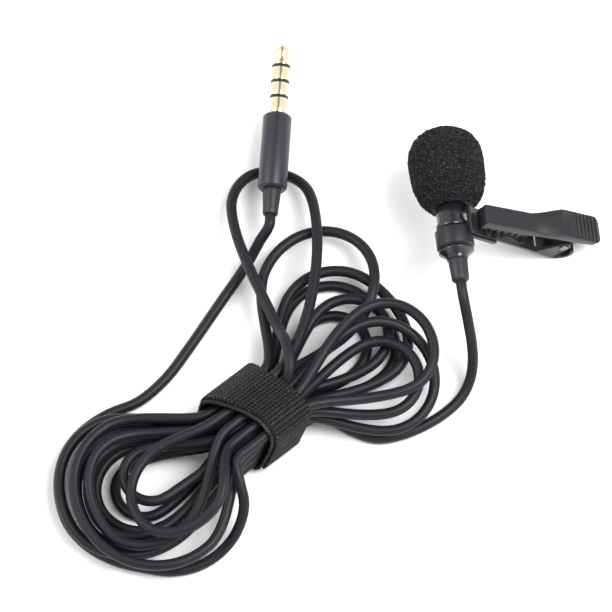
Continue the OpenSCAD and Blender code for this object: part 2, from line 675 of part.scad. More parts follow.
module upper_lever() {
    tooth_w = 0.8;
    tooth_h = 0.9;
    tooth_from = 2.4;
    tooth_count = 6;
    wall_t = 0.5;
    nose_set = [0.5, 1.1];
    rim_h = 0.6;
    ear_top = [2.6, 0.3];
    ridge_d = 0.45;
    ridge_from = 0.75;
    ridge_pitch = 0.93;
    ridge_border = 0.3;
    front_wall = [
        lever_line[0], lever_line[1], lever_line[2], lever_line[2] - [0, lever_wall_h],
        lever_line[1] - [0, lever_wall_h], lever_line[0] + [nose_set[0], -lever_wall_h]
    ];
    pad_wall = [
        lever_line[2], lever_line[3], lever_line[3] - [0, sheet_t + rim_h],
        lever_line[2] - [0, lever_wall_h]
    ];
    tooth_y = lever_line[0][1] - lever_wall_h;
    rise = crease[1] / crease[0];
    color("#7d7b7e") on_clip() difference() {
        union() {
            intersection() {
                slab(2 * lever_pad_w) polygon(concat(lever_line, flipped(lowered(lever_line, sheet_t))));
                through_plan(lever_plan(0));
            }
            intersection() {
                slab(2 * lever_pad_w) {
                    polygon(front_wall);
                    polygon(pad_wall);
                    for (k = [0:tooth_count - 1]) {
                        let(x = tooth_from + 2 * tooth_w * k)
                        translate([x, tooth_y + rise * (x - lever_front_x) - tooth_h])
                            square([tooth_w, tooth_h + sheet_t]);
                    }
                }
                difference() {
                    through_plan(lever_plan(0));
                    through_plan(lever_plan(wall_t));
                }
            }
            slab(lever_nose_w) polygon([
                lever_line[0], lever_line[0] + [sheet_t, 0],
                [lever_front_x + nose_set[1] + sheet_t, jaw_y + mouth_gap],
                [lever_front_x + nose_set[1], jaw_y + mouth_gap]
            ]);
            both_sides(lever_ear_z, sheet_t) {
                polygon([
                    [pivot_x - ear_root, lever_line[2][1]], [pivot_x, lever_line[2][1]] + ear_top,
                    [pivot_x + ear_r, pivot_y], [pivot_x - ear_r, pivot_y]
                ]);
                translate([pivot_x, pivot_y]) circle(r = ear_r);
            }
            for (k = [0:ridge_count - 1]) {
                let(back = ridge_from + ridge_pitch * k)
                translate([pad_end_x - back, lever_line[3][1] - back * pad_rise, -clip_offset])
                    cylinder(d = ridge_d, h = lever_pad_w - 2 * ridge_border, center = true, $fn = 24);
            }
        }
        translate([pivot_x, pivot_y, -clip_offset])
            cylinder(r = pin_d / 2 + pivot_gap, h = jaw_w, center = true);
    }
}

module pivot_pin() {
    head_t = 0.3;
    head_border = 0.25;
    color("#9a9a9e") on_clip() translate([pivot_x, pivot_y, -clip_offset]) {
        cylinder(d = pin_d, h = jaw_w, center = true);
        for (side = [-1, 1]) {
            translate([0, 0, side * (jaw_w / 2 + head_t / 2)])
                cylinder(d = pin_d + 2 * head_border, h = head_t, center = true);
        }
    }
}

// The spring's coil round the pin, in the clip's frame, and its lower arm,
// which stands on the jaw
coil_rings = 8;
spring_points = concat(
    [for (k = [0:coil_rings * spring_turns])
        let(a = -360 * k / coil_rings)
        [
            pivot_x + spring_r * cos(a), pivot_y + spring_r * sin(a),
            coil_z + spring_pitch * k / coil_rings
        ]],
    [for (t = [0.3, 0.65, 1])
        [pivot_x + spring_r, pivot_y - t * pivot_rise, coil_z + spring_len]]
);

module torsion_spring() {
    color("#a7a7ab") on_clip() tube(spring_points, spring_wire, 6);
    echo(spring_gap = least_gap(spring_points, spring_wire, coil_rings / 2));
}

// The spring's upper arm, which moves with the lever, clear of the coil
module spring_arm() {
    arm_from = pivot_y + 1.1;
    arm_to = pivot_y + pad_end[1] - sheet_t - pad_rise * (pad_end[0] - spring_r) - fit_gap;
    color("#a7a7ab") on_clip() translate([pivot_x + spring_r, arm_from, coil_z])
        rotate([-90, 0, 0]) cylinder(d = spring_wire, h = arm_to - arm_from, $fn = 16);
}

module cord_head_end() {
    color("#303036") laid() tube(head_route, cord_d, free_sides);
}

module cord_plug_end() {
    color("#303036") laid() tube(plug_route, cord_d, free_sides);
}

module cord_hank() {
    color("#303036") laid() tube(hank_points, cord_d, hank_sides);
    echo(hank_gap = least_gap(hank_points, cord_d, 4), hank_length = sum(steps(hank_points)));
}

// The tie: a strap drawn round the cable places in use, which leave the top
// place of the first column free, with its free end lapped on one side
outer_places = [[4, 0], [4, 3], [1, 3], [0, 2], [0, 0]];
function tie_point(c) = [(2 - c[0]) * column_pitch + column_shift, lowest_layer + c[1] * layer_pitch];
module round_places(places, r) {
    hull() for (c = places) translate(tie_point(c)) circle(r = r, $fn = 40);
}
module cable_tie() {
    grip = 0.1;
    strap_shift = 0.8;
    lap_t = 0.8;
    lap_w = 8.4;
    lap_shift = -0.6;
    lap_places = [[4, 0], [4, 1.6], [3, 0], [3, 1.6]];
    inner_r = cord_d / 2 + grip;
    color("#26262a") laid() translate(concat(tie_at, 0)) rotate([0, 0, tie_turn]) difference() {
        union() {
            translate([strap_shift, 0, 0]) rotate([90, 0, 90]) linear_extrude(tie_w, center = true)
                round_places(outer_places, inner_r + tie_t);
            translate([strap_shift + lap_shift, -lap_t, 0]) rotate([90, 0, 90])
                linear_extrude(lap_w, center = true) round_places(lap_places, inner_r + tie_t);
        }
        rotate([90, 0, 90]) linear_extrude(2 * tie_w, center = true)
            round_places(outer_places, inner_r);
    }
}

// Along the plug's axis from the handle's face: z > 0 is the jack
ring_rear_z = sleeve_len + collar_gap;
ring_front_z = ring_rear_z + ring_len + collar_gap;
tip_z = ring_front_z + ring_len + collar_gap;
insulator_r = 1.15;
insulator_root = 2.5;
rod_r = 0.5;
rod_root = 5.5;
handle_bore = handle_d / 2 - handle_wall;
handle_face_t = 1;
sleeve_flange_t = 0.8;
sleeve_neck_r = jack_d / 2 - 0.2;
shoulder = 0.3;
relief_flange_t = 0.8;
rod_back_z = -handle_face_t - rod_root;
insulator_back_z = -handle_face_t - insulator_root;
core_len = 2.5;
core_front_z = -handle_len + core_len;
plug_neck_r = plug_relief_d / 2 - 0.3;

// The tip's outline: how much slimmer than the shank, and how far back from
// the jack's very end
tip_shank = 0.5;
tip_waist = [[0.35, 3.6], [0.35, 3.2], [0.15, 2.2], [0.1, 1.7]];
tip_nose = [[0.2, 1.3], [0.6, 0.7], [0.95, 0.25], [1.2, 0]];

module plug_tip() {
    r = jack_d / 2;
    color("#d2a545") on_plug() {
        rotate_extrude() polygon(concat(
            [[0, tip_z], [r, tip_z], [r, tip_z + tip_shank]],
            [for (p = concat(tip_waist, tip_nose)) [r - p[0], jack_len - p[1]]],
            [[0, jack_len]]
        ));
        turned(rod_r, rod_back_z, tip_z + cut);
    }
}

module plug_insulator() {
    color("#17171a") on_plug() difference() {
        union() {
            turned(insulator_r, insulator_back_z, tip_z);
            for (z = [sleeve_len, ring_rear_z + ring_len, ring_front_z + ring_len]) {
                turned(jack_d / 2, z, z + collar_gap);
            }
        }
        translate([0, 0, insulator_back_z - cut])
            cylinder(r = rod_r + fit_gap, h = tip_z - insulator_back_z + 2 * cut);
    }
}

module plug_ring_front() {
    color("#d2a545") on_plug()
        turned(jack_d / 2, ring_front_z, ring_front_z + ring_len, insulator_r + fit_gap);
}

module plug_ring_rear() {
    color("#d2a545") on_plug()
        turned(jack_d / 2, ring_rear_z, ring_rear_z + ring_len, insulator_r + fit_gap);
}

module plug_sleeve() {
    flange_back = -handle_face_t - sleeve_flange_t;
    color("#d2a545") on_plug() difference() {
        union() {
            turned(jack_d / 2, shoulder, sleeve_len);
            turned(sleeve_neck_r, flange_back, shoulder + cut);
            turned(handle_bore - fit_gap, flange_back, -handle_face_t);
        }
        translate([0, 0, flange_back - cut])
            cylinder(r = insulator_r + fit_gap, h = sleeve_len - flange_back + 2 * cut);
    }
}

module plug_conductors() {
    color("#8b2f2a") on_plug() {
        turned(cord_d / 2, -handle_len - plug_relief_len, core_front_z);
        translate([0, 0, core_front_z - cut])
            cylinder(d = conductor_d, h = rod_back_z - core_front_z + cut, $fn = 16);
    }
}

module plug_handle() {
    r = handle_d / 2;
    chamfer = 0.4;
    color("#46464b") on_plug() difference() {
        rotate_extrude() polygon([
            [0, -handle_len], [r - chamfer, -handle_len], [r, -handle_len + chamfer],
            [r, -chamfer], [r - chamfer, 0], [0, 0]
        ]);
        translate([0, 0, -handle_len + handle_face_t])
            cylinder(r = handle_bore, h = handle_len - 2 * handle_face_t);
        translate([0, 0, -handle_face_t - cut])
            cylinder(r = sleeve_neck_r + fit_gap, h = handle_face_t + 2 * cut);
        translate([0, 0, -handle_len - cut])
            cylinder(r = plug_neck_r + fit_gap, h = handle_face_t + 2 * cut);
    }
}

module plug_strain_relief() {
    back_z = -handle_len - plug_relief_len;
    taper = 0.35;
    color("#3a3a3f") on_plug() difference() {
        union() {
            turned(handle_bore - fit_gap, -handle_len + handle_face_t,
                -handle_len + handle_face_t + relief_flange_t);
            turned(plug_neck_r, -handle_len - cut, -handle_len + handle_face_t + cut);
            translate([0, 0, back_z])
                cylinder(r1 = plug_relief_d / 2 - taper, r2 = plug_relief_d / 2, h = plug_relief_len);
        }
        translate([0, 0, back_z - cut])
            cylinder(r = cord_d / 2 + fit_gap, h = plug_relief_len + 2 * handle_len / 3);
    }
}

foam_windscreen();
capsule_housing();
head_grille();
electret_capsule();
capsule_gasket();
circuit_board();
head_conductors();
rear_cap();
head_strain_relief();
clip_collar();
collar_rivets();
lower_jaw();
upper_lever();
pivot_pin();
torsion_spring();
spring_arm();
cord_head_end();
cord_hank();
cord_plug_end();
cable_tie();
plug_tip();
plug_insulator();
plug_ring_front();
plug_ring_rear();
plug_sleeve();
plug_conductors();
plug_handle();
plug_strain_relief();
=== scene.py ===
# %% [markdown]
# # A clip-on microphone on its cable
#
# This lesson dresses a packed mechanical model: a lavalier microphone with a
# foam windscreen, a sprung clip, one long thin cable that is folded into a
# hank, a hook-and-loop strap round it and a gold audio plug. The mechanical
# model is the fixed frame. Every piece made here sits on it and rides on it.

import json
import math

import bpy
import numpy as np
from mathutils import Matrix, Vector, noise


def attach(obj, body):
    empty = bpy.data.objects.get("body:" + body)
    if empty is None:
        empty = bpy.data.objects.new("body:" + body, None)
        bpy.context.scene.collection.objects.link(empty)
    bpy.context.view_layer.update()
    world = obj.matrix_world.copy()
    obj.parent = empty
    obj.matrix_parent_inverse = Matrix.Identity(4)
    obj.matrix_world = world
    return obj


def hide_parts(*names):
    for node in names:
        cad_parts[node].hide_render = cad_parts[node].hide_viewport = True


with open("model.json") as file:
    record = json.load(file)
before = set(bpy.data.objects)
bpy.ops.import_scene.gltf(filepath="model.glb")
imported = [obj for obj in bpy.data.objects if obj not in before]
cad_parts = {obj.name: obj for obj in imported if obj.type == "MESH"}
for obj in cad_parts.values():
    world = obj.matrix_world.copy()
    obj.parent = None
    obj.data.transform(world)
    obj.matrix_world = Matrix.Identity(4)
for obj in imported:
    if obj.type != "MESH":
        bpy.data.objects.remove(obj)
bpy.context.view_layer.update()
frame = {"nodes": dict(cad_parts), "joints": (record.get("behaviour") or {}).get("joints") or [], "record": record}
bpy.ops.object.select_all(action="DESELECT")
MM = 0.001
print("nodes in the frame:", len(frame["nodes"]))

# %% [markdown]
# ## Where things are
#
# The joints say where the mechanical model turns, so they also place the
# pieces made here. The swivel joint sits in the middle of the clip's collar,
# on the microphone's axis, and gives the head's work frame, with z towards
# the cable. The cable and the strap lie flat, so they are laid out on a desk
# instead: in millimetres, from a point beside the collar.

# %% The head's work frame and the desk
# how far right of the desk's origin the collar's middle lies, in millimetres
HEAD_AT_X = 0.65
swivel_joint = next(joint for joint in frame["joints"] if joint["name"] == "clip_swivel")
swivel = Vector(swivel_joint["pos_m"])
head_axis = Vector(swivel_joint["axis"])
head_yaw = math.atan2(head_axis.x, -head_axis.y)
head_frame = (
    Matrix.Translation(swivel)
    @ Matrix.Rotation(head_yaw, 4, "Z")
    @ Matrix.Rotation(math.radians(90), 4, "X")
)
desk = np.array([swivel.x / MM - HEAD_AT_X, swivel.y / MM, 0])
print("head yaw", round(math.degrees(head_yaw), 2), "desk", [round(float(x), 2) for x in desk])

# %% [markdown]
# ## The camera
#
# The camera looks down steeply, nearly straight from above, so that the whole
# hank is seen. A long lens from far away keeps parallel lines parallel, as in
# a catalogue.

# %% Camera
CAMERA_ELEVATION = math.radians(68)
CAMERA_DISTANCE = 2.5
VIEW_WIDTH = 113.3 * MM
# in millimetres on the desk
VIEW_MIDDLE = (-26.758, -6.949, 0)
SENSOR_WIDTH = 36
FAR_LIMIT = 10
look_at = Vector(desk + VIEW_MIDDLE) * MM

camera_data = bpy.data.cameras.new("camera")
camera = bpy.data.objects.new("camera", camera_data)
bpy.context.scene.collection.objects.link(camera)
bpy.context.scene.camera = camera
camera_back = Vector((0, -math.cos(CAMERA_ELEVATION), math.sin(CAMERA_ELEVATION)))
camera.location = look_at + camera_back * CAMERA_DISTANCE
camera.rotation_euler = (math.pi / 2 - CAMERA_ELEVATION, 0, 0)
camera_data.sensor_width = SENSOR_WIDTH
camera_data.lens = SENSOR_WIDTH / 2 / (VIEW_WIDTH / 2 / CAMERA_DISTANCE)
camera_data.clip_end = FAR_LIMIT
print("lens", round(camera_data.lens), "mm")

# %% [markdown]
# ## The cable's route
#
# A folded cable can be drawn point by point or told by a rule. The rule is
# better: each loop leaves the strap at one place of a small grid, swings out
# to its own reach and comes back to another place, so a few numbers describe
# a whole loop. Only the two free stretches, from the strap to the microphone
# and from the strap to the plug, are given point by point.

# %% Places in the strap, in millimetres
CORD_D = 2.0
FLOOR_GAP = 0.05
FLOOR_Z = CORD_D / 2 + FLOOR_GAP
UNDER_HANK = 1.35
LOWEST_LAYER = UNDER_HANK + CORD_D / 2
LAYER_PITCH = 2.65
COLUMN_PITCH = 2.75
COLUMN_SHIFT = 0.2
MIDDLE_COLUMN = 2
TIE_AT = np.array([-36.2, -31.7])
TIE_TURN = math.radians(39)
ALONG = np.array([math.cos(TIE_TURN), math.sin(TIE_TURN)])
ACROSS = np.array([-math.sin(TIE_TURN), math.cos(TIE_TURN)])
MOUTH = 6.6


def place(column, layer, side):
    """A place at the strap's left (-1) or right (1) mouth."""
    across = (MIDDLE_COLUMN - column) * COLUMN_PITCH + COLUMN_SHIFT
    flat = TIE_AT + ALONG * MOUTH * side + ACROSS * across
    return np.array([*flat, LOWEST_LAYER + layer * LAYER_PITCH])


print("first place at the right mouth:", place(0, 0, 1).round(2))

# %% The table of loops
LEVEL = [0, 0, 0, 0, 0]
FIRST = [1, 1, 1, 1, 1]
SECOND = [2, 2, 2, 2, 2]
USUAL = (0.6, 95, 0)
# side, leaves at, returns at, turn, heading, reach, end length, half widths
# on the way out and back, heights in layers, and then what is usual for most:
# straightness, where the round end stops, height of a hump near the start
loops = [
    (-1, (4, 0), (0, 0), 1, 213.3, 36.2, 12.4, 9.5, 13.8, LEVEL, *USUAL),
    (1, (0, 0), (3, 0), 1, 53.4, 33, 9, 9.2, 13, LEVEL, *USUAL),
    (-1, (3, 0), (1, 0), 1, 210.3, 32.5, 8.8, 8.2, 8.4, LEVEL, *USUAL),
    (1, (1, 0), (2, 0), 1, 48, 28, 6.8, 6.3, 6.3, LEVEL, *USUAL),
    (-1, (2, 0), (2, 1), 1, 211, 29, 5.3, 5.4, 5.4, [0, 0.1, 0, 0, 0.9], *USUAL),
    (1, (2, 1), (1, 1), -1, 45, 32, 7.5, 7.2, 7.2, FIRST, *USUAL),
    (-1, (1, 1), (3, 1), -1, 214.5, 34.6, 9.7, 10.9, 7.6, FIRST, *USUAL),
    (1, (3, 1), (0, 1), -1, 53.5, 35.2, 10, 14.8, 10, FIRST, *USUAL),
    (-1, (0, 1), (4, 1), -1, 212.2, 39.3, 13.5, 15.5, 11.9, FIRST, *USUAL),
    (1, (4, 1), (2, 2), -1, 20, 34.6, 9.5, 10.2, 10.2, [1, 1.1, 1.5, 2.4, 2.5], *USUAL),
    (-1, (2, 2), (3, 2), -1, 210.9, 27.2, 5.1, 5.1, 5.1, SECOND, *USUAL),
    (1, (3, 2), (4, 2), 1, 19, 31.6, 7, 7.2, 7.2, SECOND, *USUAL),
    (-1, (4, 2), (0, 2), 1, 218.5, 37.7, 14.1, 14.6, 15.7, [2, 2, 2, 2.2, 2], *USUAL),
    (1, (0, 2), (1, 2), 1, 66, 40.8, 11.8, 10.5, 10, [1.5, 1.1, 1.2, 2.1, 1], 0.6, 125, 0),
    (-1, (1, 2), (2, 3), -1, 219.9, 35, 10.6, 13.3, 8.4, [2, 2.4, 2, 1.9, 2.45], *USUAL),
    (1, (2, 3), (1, 3), 1, 88, 50.8, 7.5, 5.9, 9, [2.6, 1.6, 0.3, 2.1, 2.8], 0.6, 75, 3.9),
    (-1, (1, 3), (3, 3), -1, 229, 30, 9.7, 9.1, 7.7, [3.3, 2.9, 3.2, 3.9, 4.6], 1, 95, 0),
    (1, (3, 3), (4, 3), 1, 28, 36, 8, 8.5, 9.2, [3.6, 3.2, 3, 3, 3], *USUAL),
]
print("loops:", len(loops))

# %% Smooth steps from one place to the next
JUST_LESS = 1e-6


def unit(v):
    """The vector with its length made 1."""
    return v / np.linalg.norm(v)


def hermite(p, m, q, n, t):
    """A cubic from p to q that leaves with the slope m and arrives with n."""
    return (
        (1 + 2 * t) * (1 - t) ** 2 * p + t * (1 - t) ** 2 * m
        + t * t * (3 - 2 * t) * q + t * t * (t - 1) * n
    )


def height(stations, t):
    """A smooth height through evenly spaced stations, at t from 0 to 1."""
    last = len(stations) - 1
    at = min(t * last, last - JUST_LESS)
    i = int(at)
    slope = [0] + [(stations[k + 1] - stations[k - 1]) / 2 for k in range(1, last)] + [0]
    return hermite(stations[i], slope[i], stations[i + 1], slope[i + 1], at - i)


print("half way up a step of 1:", height([0, 1], 0.5))

# %% One loop from its row of the table
LEG_RINGS = 7
BEND_RINGS = 10
BEND_START = 95
HUMP_AT = 6
HUMP_W = 4


def loop_points(row):
    """Points of one loop, out of the strap, round its end and back."""
    side, start, end, turn, heading, reach, end_len, half_out, half_back = row[:9]
    stations, straight, stop, hump = row[9:]
    ahead = np.array([math.cos(math.radians(heading)), math.sin(math.radians(heading))])
    aside = np.array([-ahead[1], ahead[0]]) * turn

    def bend(angle):
        """A point of the round end and the cable's way there."""
        a = math.radians(angle)
        half = half_out if math.sin(a) > 0 else half_back
        centre = TIE_AT + ahead * (reach - end_len)
        point = centre + ahead * end_len * math.cos(a) + aside * half * math.sin(a)
        return point, unit(ahead * end_len * math.sin(a) - aside * half * math.cos(a))

    p = place(*start, side)[:2]
    q = place(*end, side)[:2]
    (first, first_way), (last, last_way) = bend(BEND_START), bend(-stop)
    out, back = np.linalg.norm(first - p), np.linalg.norm(q - last)
    pull = ALONG * side * straight
    step = (BEND_START + stop) / (BEND_RINGS - 1)
    flat = [
        hermite(p, pull * out, first, first_way * out, k / LEG_RINGS) for k in range(LEG_RINGS)
    ]
    flat += [bend(BEND_START - step * k)[0] for k in range(BEND_RINGS)]
    flat += [
        hermite(last, last_way * back, q, -pull * back, k / LEG_RINGS)
        for k in range(1, LEG_RINGS + 1)
    ]
    steps = [np.linalg.norm(b - a) for a, b in zip(flat, flat[1:])]
    run = np.concatenate([[0], np.cumsum(steps)])
    levels = [place(0, start[1], 1)[2], *(FLOOR_Z + LAYER_PITCH * h for h in stations)]
    levels.append(place(0, end[1], 1)[2])

    def level_at(s):
        """Height of the cable's middle at the distance s from the strap."""
        return height(levels, s / run[-1]) + hump * math.exp(-(((s - HUMP_AT) / HUMP_W) ** 2))

    return [np.array([*xy, level_at(s)]) for xy, s in zip(flat, run)]


hank_start = place(4, 0, 1)
hank_end = place(4, 3, -1)
hank = [hank_start, *(point for row in loops for point in loop_points(row)), hank_end]
print("points in the hank:", len(hank))

# %% [markdown]
# ## The two free stretches
#
# The cable leaves each strain relief straight, sinks to the surface and lies
# there in loose curves until it reaches the strap. Both strain reliefs are
# part of the frame. Where they end is named here: as a distance along the
# microphone's axis, and as a place on the desk.

# %% Free stretches, in millimetres on the desk
HEAD_RELIEF_END = 8.43
PLUG_YAW = math.radians(86.1)
PLUG_BACK = np.array([-33.38, 8.67, 6.4])
head_way = np.array(head_axis)
plug_way = np.array([math.cos(PLUG_YAW), math.sin(PLUG_YAW), 0])
tie_way = np.array([*ALONG, 0])
head_end = np.array([HEAD_AT_X, 0, swivel.z / MM]) + head_way * HEAD_RELIEF_END
head_route = [
    hank_start, hank_start + tie_way,
    [-24.8, -29.9, 2.2], [-22.2, -30.3, 1.6], [-18.5, -32.1, FLOOR_Z], [-14, -33.7, FLOOR_Z],
    [-9.5, -33.1, FLOOR_Z], [-5, -31.2, FLOOR_Z], [-0.8, -28.4, FLOOR_Z], [2, -25.6, 1.5],
    [3.5, -22.8, 2.9], [4, -20.2, 5.1], [3.8, -17.6, 8], [3.2, -15.2, 11.3], [2.5, -12.6, 14.3],
    head_end + head_way * CORD_D, head_end,
]
plug_route = [
    hank_end, hank_end - tie_way,
    [-39.6, -42.4, 10.5], [-39, -45.4, 9.9], [-38.1, -49.3, 7.4], [-39.5, -53.4, 4.2],
    [-42.5, -56.5, 1.8], [-46.6, -58.9, FLOOR_Z], [-51.4, -59.9, FLOOR_Z], [-56.6, -59.2, FLOOR_Z],
    [-61.9, -57.8, FLOOR_Z], [-66.9, -54.9, FLOOR_Z], [-70.4, -50.8, FLOOR_Z],
    [-72, -46, FLOOR_Z], [-72.2, -41.2, FLOOR_Z], [-70.9, -36.4, FLOOR_Z], [-68, -32.4, FLOOR_Z],
    [-63.4, -29, FLOOR_Z], [-57.6, -26.4, FLOOR_Z], [-52.6, -21.8, FLOOR_Z],
    [-48.5, -16, FLOOR_Z], [-44.9, -10.4, FLOOR_Z], [-41.6, -5.2, FLOOR_Z],
    [-39.2, -1.6, 1.2], [-37.2, 1.4, 2.2], [-35.3, 4.3, 4.3],
    PLUG_BACK - plug_way * CORD_D, PLUG_BACK,
]
route = [np.array(p, float) for p in [*reversed(head_route), *hank[1:-1], *plug_route]]
print("points in the route:", len(route))

# %% [markdown]
# ## One cable, one curve
#
# The whole cable is a single curve with a round section, because it is one
# piece of cable. Between the points of the route it follows a smooth cubic,
# with slopes as long as the step they belong to, so that it hardly overshoots.

# %% Cable
STEPS_BETWEEN = 4
SECTION_ROUNDNESS = 5


def smooth(points, steps):
    """Points on a smooth line through the given ones."""
    ways = [unit(points[1] - points[0])]
    for before, here, after in zip(points, points[1:], points[2:]):
        ways.append(unit(unit(here - before) + unit(after - here)))
    ways.append(unit(points[-1] - points[-2]))
    line = []
    for i in range(len(points) - 1):
        span = np.linalg.norm(points[i + 1] - points[i])
        leave, arrive = ways[i] * span, ways[i + 1] * span
        line += [hermite(points[i], leave, points[i + 1], arrive, k / steps) for k in range(steps)]
    return [*line, points[-1]]


line = [(p + desk) * MM for p in smooth(route, STEPS_BETWEEN)]
curve = bpy.data.curves.new("cable", "CURVE")
curve.dimensions = "3D"
# the section has the radius 1, and each point scales it to the cord's own
curve.bevel_depth = 1
curve.bevel_resolution = SECTION_ROUNDNESS
curve.use_fill_caps = True
spline = curve.splines.new("POLY")
spline.points.add(len(line) - 1)
spline.points.foreach_set("co", [x for p in line for x in (*p, 1)])
spline.points.foreach_set("radius", [CORD_D / 2 * MM] * len(line))
spline.use_smooth = True
cable = bpy.data.objects.new("cable", curve)
bpy.context.scene.collection.objects.link(cable)
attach(cable, "microphone")
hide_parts("cord_head_end", "cord_hank", "cord_plug_end")

# %% [markdown]
# ## Finishes: small effects that many materials share
#
# A real surface is never one flat colour. Two effects cover most of this
# object: a fine grain, which moulded rubber and sprayed metal have, and
# smudges, which change how rough a touched surface is. Each is a node group
# with named sockets, built once and used by many materials.

# %% Node group helpers
def new_group(name, inputs, outputs):
    """An empty shader node group with float inputs and named outputs."""
    group = bpy.data.node_groups.new(name, "ShaderNodeTree")
    for label, value in inputs:
        socket = group.interface.new_socket(label, in_out="INPUT", socket_type="NodeSocketFloat")
        socket.default_value = value
    for label, kind in outputs:
        group.interface.new_socket(label, in_out="OUTPUT", socket_type=kind)
    return group, group.nodes.new("NodeGroupInput"), group.nodes.new("NodeGroupOutput")


def add_node(tree, kind, **values):
    """A node with some of its properties and inputs set."""
    node = tree.nodes.new(kind)
    for name, value in values.items():
        if hasattr(node, name):
            setattr(node, name, value)
        else:
            node.inputs[name.replace("_", " ").title()].default_value = value
    return node


def noise_per_mm(tree, cells_per_mm, detail, roughness):
    """Noise on a piece's own coordinates, from a socket with its cells per mm."""
    coordinates = tree.nodes.new("ShaderNodeTexCoord")
    per_metre = add_node(tree, "ShaderNodeMath", operation="MULTIPLY")
    per_metre.inputs[1].default_value = 1 / MM
    pattern = add_node(tree, "ShaderNodeTexNoise", detail=detail, roughness=roughness)
    tree.links.new(cells_per_mm, per_metre.inputs[0])
    tree.links.new(per_metre.outputs[0], pattern.inputs["Scale"])
    tree.links.new(coordinates.outputs["Object"], pattern.inputs["Vector"])
    return pattern.outputs["Fac"]


def less(tree, value, amount):
    """The value of a socket less an amount."""
    node = add_node(tree, "ShaderNodeMath", operation="SUBTRACT")
    node.inputs[1].default_value = amount
    tree.links.new(value, node.inputs[0])
    return node.outputs[0]

# %% Grain: fine noise in the surface, per millimetre
NOISE_MEAN = 0.5
GRAIN_HEIGHT = 0.02 * MM
grain_group, grain_in, grain_out = new_group(
    "grain", [("Cells per mm", 6.0), ("Depth", 0.3), ("Contrast", 0.2)],
    [("Shade", "NodeSocketFloat"), ("Normal", "NodeSocketVector")],
)
grain_noise = noise_per_mm(
    grain_group, grain_in.outputs["Cells per mm"], detail=3.0, roughness=0.6
)
bump = add_node(grain_group, "ShaderNodeBump", distance=GRAIN_HEIGHT)
shade = add_node(grain_group, "ShaderNodeMath", operation="MULTIPLY_ADD")
shade.inputs[2].default_value = 1.0
grain_group.links.new(grain_noise, bump.inputs["Height"])
grain_group.links.new(grain_in.outputs["Depth"], bump.inputs["Strength"])
grain_group.links.new(less(grain_group, grain_noise, NOISE_MEAN), shade.inputs[0])
grain_group.links.new(grain_in.outputs["Contrast"], shade.inputs[1])
grain_group.links.new(shade.outputs[0], grain_out.inputs["Shade"])
grain_group.links.new(bump.outputs["Normal"], grain_out.inputs["Normal"])
print("built the group", grain_group.name)

# %% Smudges: wide soft patches that vary the roughness
smudge_group, smudge_in, smudge_out = new_group(
    "smudges", [("Roughness", 0.4), ("Spread", 0.08), ("Patches per mm", 0.35)],
    [("Roughness", "NodeSocketFloat")],
)
patches = noise_per_mm(
    smudge_group, smudge_in.outputs["Patches per mm"], detail=4.0, roughness=0.55
)
varied = add_node(smudge_group, "ShaderNodeMath", operation="MULTIPLY_ADD")
smudge_group.links.new(less(smudge_group, patches, NOISE_MEAN), varied.inputs[0])
smudge_group.links.new(smudge_in.outputs["Spread"], varied.inputs[1])
smudge_group.links.new(smudge_in.outputs["Roughness"], varied.inputs[2])
smudge_group.links.new(varied.outputs[0], smudge_out.inputs["Roughness"])
print("built the group", smudge_group.name)

# %% A finish from the two effects
COAT_ROUGHNESS = 0.15
SMUDGE_SPREAD = 0.08
PLAIN_GRAIN = (6.0, 0.3, 0.2)


def finish(name, color, roughness, metallic=0.0, coat=0.0, specular=0.5, grain=PLAIN_GRAIN):
    """A Principled material whose colour, roughness and normal vary finely."""
    material = bpy.data.materials.new(name)
    material.use_nodes = True
    tree = material.node_tree
    shader = tree.nodes["Principled BSDF"]
    shader.inputs["Metallic"].default_value = metallic
    shader.inputs["Coat Weight"].default_value = coat
    shader.inputs["Coat Roughness"].default_value = COAT_ROUGHNESS
    shader.inputs["Specular IOR Level"].default_value = specular
    grain_node = add_node(tree, "ShaderNodeGroup", node_tree=grain_group)
    for label, value in zip(("Cells per mm", "Depth", "Contrast"), grain):
        grain_node.inputs[label].default_value = value
    smudge_node = add_node(tree, "ShaderNodeGroup", node_tree=smudge_group)
    smudge_node.inputs["Roughness"].default_value = roughness
    smudge_node.inputs["Spread"].default_value = SMUDGE_SPREAD
    tint = add_node(tree, "ShaderNodeVectorMath", operation="SCALE")
    tint.inputs[0].default_value = color
    tree.links.new(grain_node.outputs["Shade"], tint.inputs["Scale"])
    tree.links.new(tint.outputs["Vector"], shader.inputs["Base Color"])
    tree.links.new(grain_node.outputs["Normal"], shader.inputs["Normal"])
    tree.links.new(smudge_node.outputs["Roughness"], shader.inputs["Roughness"])
    return material

